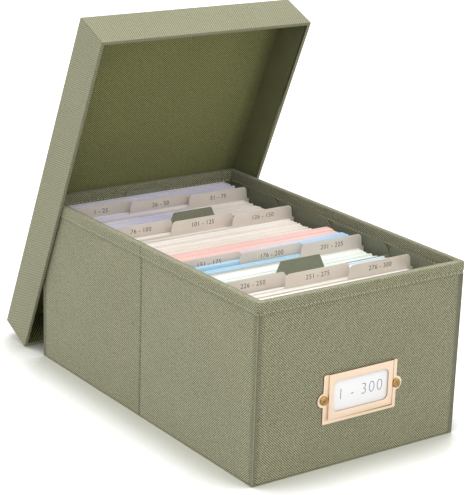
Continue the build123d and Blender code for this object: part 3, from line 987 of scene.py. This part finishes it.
def printed_text(name, words, middle, letter_size, material, body, spacing, thinner=0.0):
    """Flat printed words that face -Y, their middle at a point."""
    bpy.ops.object.select_all(action="DESELECT")
    bpy.ops.object.text_add()
    text = bpy.context.object
    text.data.body = words
    text.data.size = letter_size
    text.data.space_character = spacing
    text.data.align_x = "CENTER"
    text.data.align_y = "CENTER"
    text.data.offset = -thinner
    text.data.extrude = ink_thickness / 2
    text.data.resolution_u = 4
    bpy.ops.object.convert(target="MESH")
    text = bpy.context.object
    text.name = text.data.name = name
    text.matrix_world = Matrix.Translation(middle) @ upright
    return finish_piece(text, material, body)


for number in tray_numbers:
    for place in places:
        node = f"divider_{number}_{place}"
        low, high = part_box(node)
        tab_run = high.x - low.x - 2 * tab_inset - tab_width
        cards_before = (number - 1) * len(places) + place - 1
        first_print = cards_before * prints_per_card + 1
        words = f"{first_print} - {first_print + prints_per_card - 1}"
        middle = Vector((
            low.x + tab_inset + tab_width / 2 + (place - 1) / 2 * tab_run,
            low.y - ink_thickness / 2, high.z - print_drop,
        ))
        printed_text(f"tab_print_{number}_{place}", words, middle, tab_letter_size, tab_ink,
                     node, tab_letter_spacing)

# %% [markdown]
# ## Bundles of prints
# A bundle is many sheets on edge, and what shows is the row of their top edges: not quite level,
# each a slightly different white. One sheet is modelled with eased edges and copied along the
# bundle, a few alike and then a small step up or down and sideways, as packets of prints stand.
# Each keeps a number by which the paper picks its tint, rising from the front to the rear.

# %% One sheet
sheet_pitch = 0.95 * MM
sheet_share = 0.86
first_low, first_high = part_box("prints_1_1")
print_width = first_high.x - first_low.x
print_height = first_high.z - first_low.z
model_sheet = start_blank("model_sheet", (-print_width / 2, -sheet_pitch / 2, 0),
                          (print_width / 2, sheet_pitch / 2, print_height))
pick(model_sheet, "EDGE", lambda middle, way: abs(way.x) > 0.9 or abs(way.z) > 0.9)
bpy.ops.mesh.bevel(offset=0.12 * MM, segments=1)
bpy.ops.object.mode_set(mode="OBJECT")

# %% A bundle of sheets
shuffle = random.Random(7)
new_packet_chance, packet_drop, sheet_drop, packet_shift = 0.4, 0.012, 0.002, 0.5
full_height, width_share = 0.998, 0.992
tint_by_place, tint_by_packet = 0.68, 0.32
# in two papers the first tint is kept for the right-hand end of this share of the prints
faded_share = {"coated_paper_rose": 0.4, "coated_paper_lilac_cream": 1.0}


def bundle_of_prints(name, node, paper, body):
    """Sheets standing side by side over the depth of a bundle."""
    low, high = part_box(node)
    count = max(2, round((high.y - low.y) / sheet_pitch))
    step = (high.y - low.y) / count
    sheets = []
    tone, drop, sideways = shuffle.random(), 0.0, 0.0
    for index in range(count):
        if shuffle.random() < new_packet_chance:
            tone = shuffle.random()
            drop = shuffle.uniform(0.0, packet_drop)
            sideways = shuffle.uniform(-packet_shift, packet_shift)
        sheet = model_sheet.copy()
        sheet.data = model_sheet.data.copy()
        bpy.context.scene.collection.objects.link(sheet)
        height_share = full_height - drop - shuffle.uniform(0, sheet_drop)
        shift = sideways * (1 - width_share) * print_width
        sheet.data.transform(
            Matrix.Translation((shift, low.y + step * (index + 0.5), low.z))
            @ Matrix.Diagonal((width_share, step * sheet_share / sheet_pitch,
                               (high.z - low.z) / print_height * height_share, 1))
        )
        number = tint_by_place * index / max(1, count - 1) + tint_by_packet * tone
        right_number = number
        if paper.name in faded_share:
            number = right_number = 0.5 + 0.5 * number
            if index < faded_share[paper.name] * count:
                right_number = 0.25 * tone
        store(sheet, "sheet_tint", lambda place, _: right_number if place.x > 0 else number)
        sheets.append(sheet)
    select_only(*sheets)
    bpy.ops.object.join()
    sheets[0].name = sheets[0].data.name = name
    return finish_piece(sheets[0], paper, body, [node])


bundle_colours = {
    1: ("lavender", "lavender", "lilac_cream", "lilac_cream"),
    2: ("cream", "cream", "cream", "rose_cream"),
    3: ("rose", "sky", "sky", "mint"),
    4: ("ice", "cream", "cream", "cream"),
}
for number in tray_numbers:
    for place, colour in enumerate(bundle_colours[number], start=1):
        name = f"prints_{number}_{place}"
        bundle_of_prints(f"sheets_{number}_{place}", name, bundle_paper[colour], name)
bpy.data.objects.remove(model_sheet)

# %% [markdown]
# ## Label holder
# The holder is one piece of brass sheet, stamped so that a flat face stands forward of a flange,
# with a round-cornered window, an ear for a screw on each side and a pocket open at the top. The
# CAD node has that shape with sharp edges, so a copy of it gets the soft edges that a press
# leaves. Shade is painted as a deeper line on the step down to the flange, and just beside and
# below it.

# %% Holder
holder = softened_copy("label_frame", "stamped_label_holder", 0.3 * MM, segments=3)
holder_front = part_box("label_frame")[0].y
face_depth = 0.35 * MM
step_side, step_foot, line_width = 27.8 * MM, 35.9 * MM, 1.3 * MM
line_fade, step_rounding, flat_way = 0.15 * MM, 0.4 * MM, 0.9
bpy.ops.object.mode_set(mode="EDIT")
for reach in (line_width, line_width + line_fade):
    cut_through((0, 0, step_foot - reach), (0, 0, 1))
    cut_through((step_side + reach, 0, 0), (1, 0, 0))
bpy.ops.object.mode_set(mode="OBJECT")


def painted_step_shade_at(place, way):
    """Painted shade: 1 on the step and right beside or below it, less on the left-hand step, 0 on
    the flats.
    """
    across, down = place.x - step_side, step_foot - place.z
    widest = line_width + 0.1 * MM
    beside = -step_rounding < across < widest and down < widest
    below = -step_rounding < down < widest and -2 * step_side - step_rounding < across < widest
    if place.y < holder_front + face_depth or not (beside or below or abs(way.y) < flat_way):
        return 0.0
    # the left-hand step is turned to the light, and less shade is painted on it
    return 0.4 if abs(place.x + step_side) < step_rounding else 1.0


store(holder, "painted_step_shade", painted_step_shade_at)
finish_piece(holder, holder_brass, "box", ["label_frame"])

# %% Card and its print
window_height = 51.9 * MM
label_letter_size, label_letter_spacing, label_letter_thinner = 12.0 * MM, 1.15, 0.28 * MM
card = softened_copy("label_card", "label_insert_card", 0.08 * MM)
finish_piece(card, label_paper, "label_card", ["label_card"])
low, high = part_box("label_card")
window_centre = Vector((0, low.y - ink_thickness / 2, window_height))
printed_text("label_print", "1 - 300", window_centre, label_letter_size, label_ink, "label_card",
             label_letter_spacing, label_letter_thinner)

# %% [markdown]
# The screws have round heads with one slot. A thin block is stood on each head, turned as a hand
# would have left the slot, and cut out of it with a boolean modifier.

# %% Screws with slots
screws = softened_copy("label_screws", "round_head_screws", 0.1 * MM)
low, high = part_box("label_screws")
head_radius = 3.3 * MM
head_places = ((low.x + head_radius, 25), (high.x - head_radius, -60))
slot = Vector((2 * head_radius, 0.9 * MM, 0.8 * MM / 2))
for head_x, turn in head_places:
    head = Vector((head_x, low.y, (low.z + high.z) / 2))
    cutter = start_blank("slot_cutter", head - slot, head + slot)
    bpy.ops.mesh.select_all(action="SELECT")
    bpy.ops.transform.rotate(value=math.radians(turn), orient_axis="Y", center_override=head)
    modify(screws, "BOOLEAN", operation="DIFFERENCE", object=cutter, solver="EXACT")
    bpy.data.objects.remove(cutter)
finish_piece(screws, screw_brass, "box", ["label_screws"], smooth_angle=50)

# %% [markdown]
# ## Floor and light
# The box stands on a plain pale floor in soft light from all round, with a very wide soft lamp
# above and a little to the left. What the camera sees of the floor is lifted to the white of the
# background, and what the brass mirrors of it by a quarter as much. Within about 55 mm of an
# object, occlusion keeps the lift down. So it adds no light to the box and keeps its shadow.

# %% Floor
floor_size = 40
floor_lift, mirrored_share = 0.62, 0.25
shadow_reach = 55 * MM
bpy.ops.object.select_all(action="DESELECT")
bpy.ops.mesh.primitive_plane_add(size=floor_size, location=(0, 0, 0))
floor = bpy.context.object
floor.name = "floor"
floor_paint, add, surface = new_finish("satin_pale_floor", Roughness=0.22)
rays = add("LightPath").outputs
seen = add("Math", {
    0: rays["Is Glossy Ray"], 1: mirrored_share, 2: rays["Is Camera Ray"],
}, operation="MULTIPLY_ADD")
seen = add("Math", {0: seen, 1: rays["Is Transmission Ray"]}, operation="MAXIMUM")
openness = add("AmbientOcclusion", {"Distance": shadow_reach}, samples=16).outputs["AO"]
open_level = add("MapRange", {
    "Value": openness, "From Min": 0.6, "From Max": 0.95, "To Min": 0.0, "To Max": floor_lift,
})
strength = add("Math", {0: open_level, 1: seen}, operation="MULTIPLY")
# painted reflection: near an object the floor is tinted a little green, as light from the canvas
# would tint it
floor_painted_reflection = add("Mix", {0: openness, 6: linear("#cdcfb6"), 7: linear("#dadadb")},
                        data_type="RGBA")
set_input(surface, "Base Color", floor_painted_reflection.outputs[2])
lift = add("Emission", {"Color": (1, 1, 1, 1), "Strength": strength})
both = add("AddShader", {0: surface, 1: lift})
set_input(floor_paint.node_tree.nodes["Material Output"], "Surface", both)
floor.data.materials.append(floor_paint)

# %% World
room_light = 0.66
world = bpy.data.worlds.new("studio")
bpy.context.scene.world = world
world.use_nodes = True
add, room = partial(add_node, world.node_tree), world.node_tree.nodes["Background"]
set_input(room, "Color", (1, 1, 1, 1))
set_input(room, "Strength", room_light)
white = add("Background", {"Color": (1, 1, 1, 1), "Strength": 1})
rays = add("LightPath").outputs
direct = add("Math", {0: rays["Is Camera Ray"], 1: rays["Is Glossy Ray"]}, operation="MAXIMUM")
direct = add("Math", {0: direct, 1: rays["Is Transmission Ray"]}, operation="MAXIMUM")
shown = add("MixShader", {0: direct, 1: room, 2: white})
set_input(world.node_tree.nodes["World Output"], "Surface", shown)
print("room light", room_light)

# %% Lamp
lamp_data = bpy.data.lights.new("soft_overhead_lamp", "SUN")
lamp_data.energy = 2.3
lamp_data.angle = math.radians(110)
lamp = bpy.data.objects.new("soft_overhead_lamp", lamp_data)
bpy.context.scene.collection.objects.link(lamp)
towards_lamp = Vector((-0.2, -0.14, 0.95)).normalized()
lamp.rotation_mode = "QUATERNION"
lamp.rotation_quaternion = towards_lamp.to_track_quat("Z", "Y")
print("lamp height angle", round(math.degrees(math.asin(towards_lamp.z))))
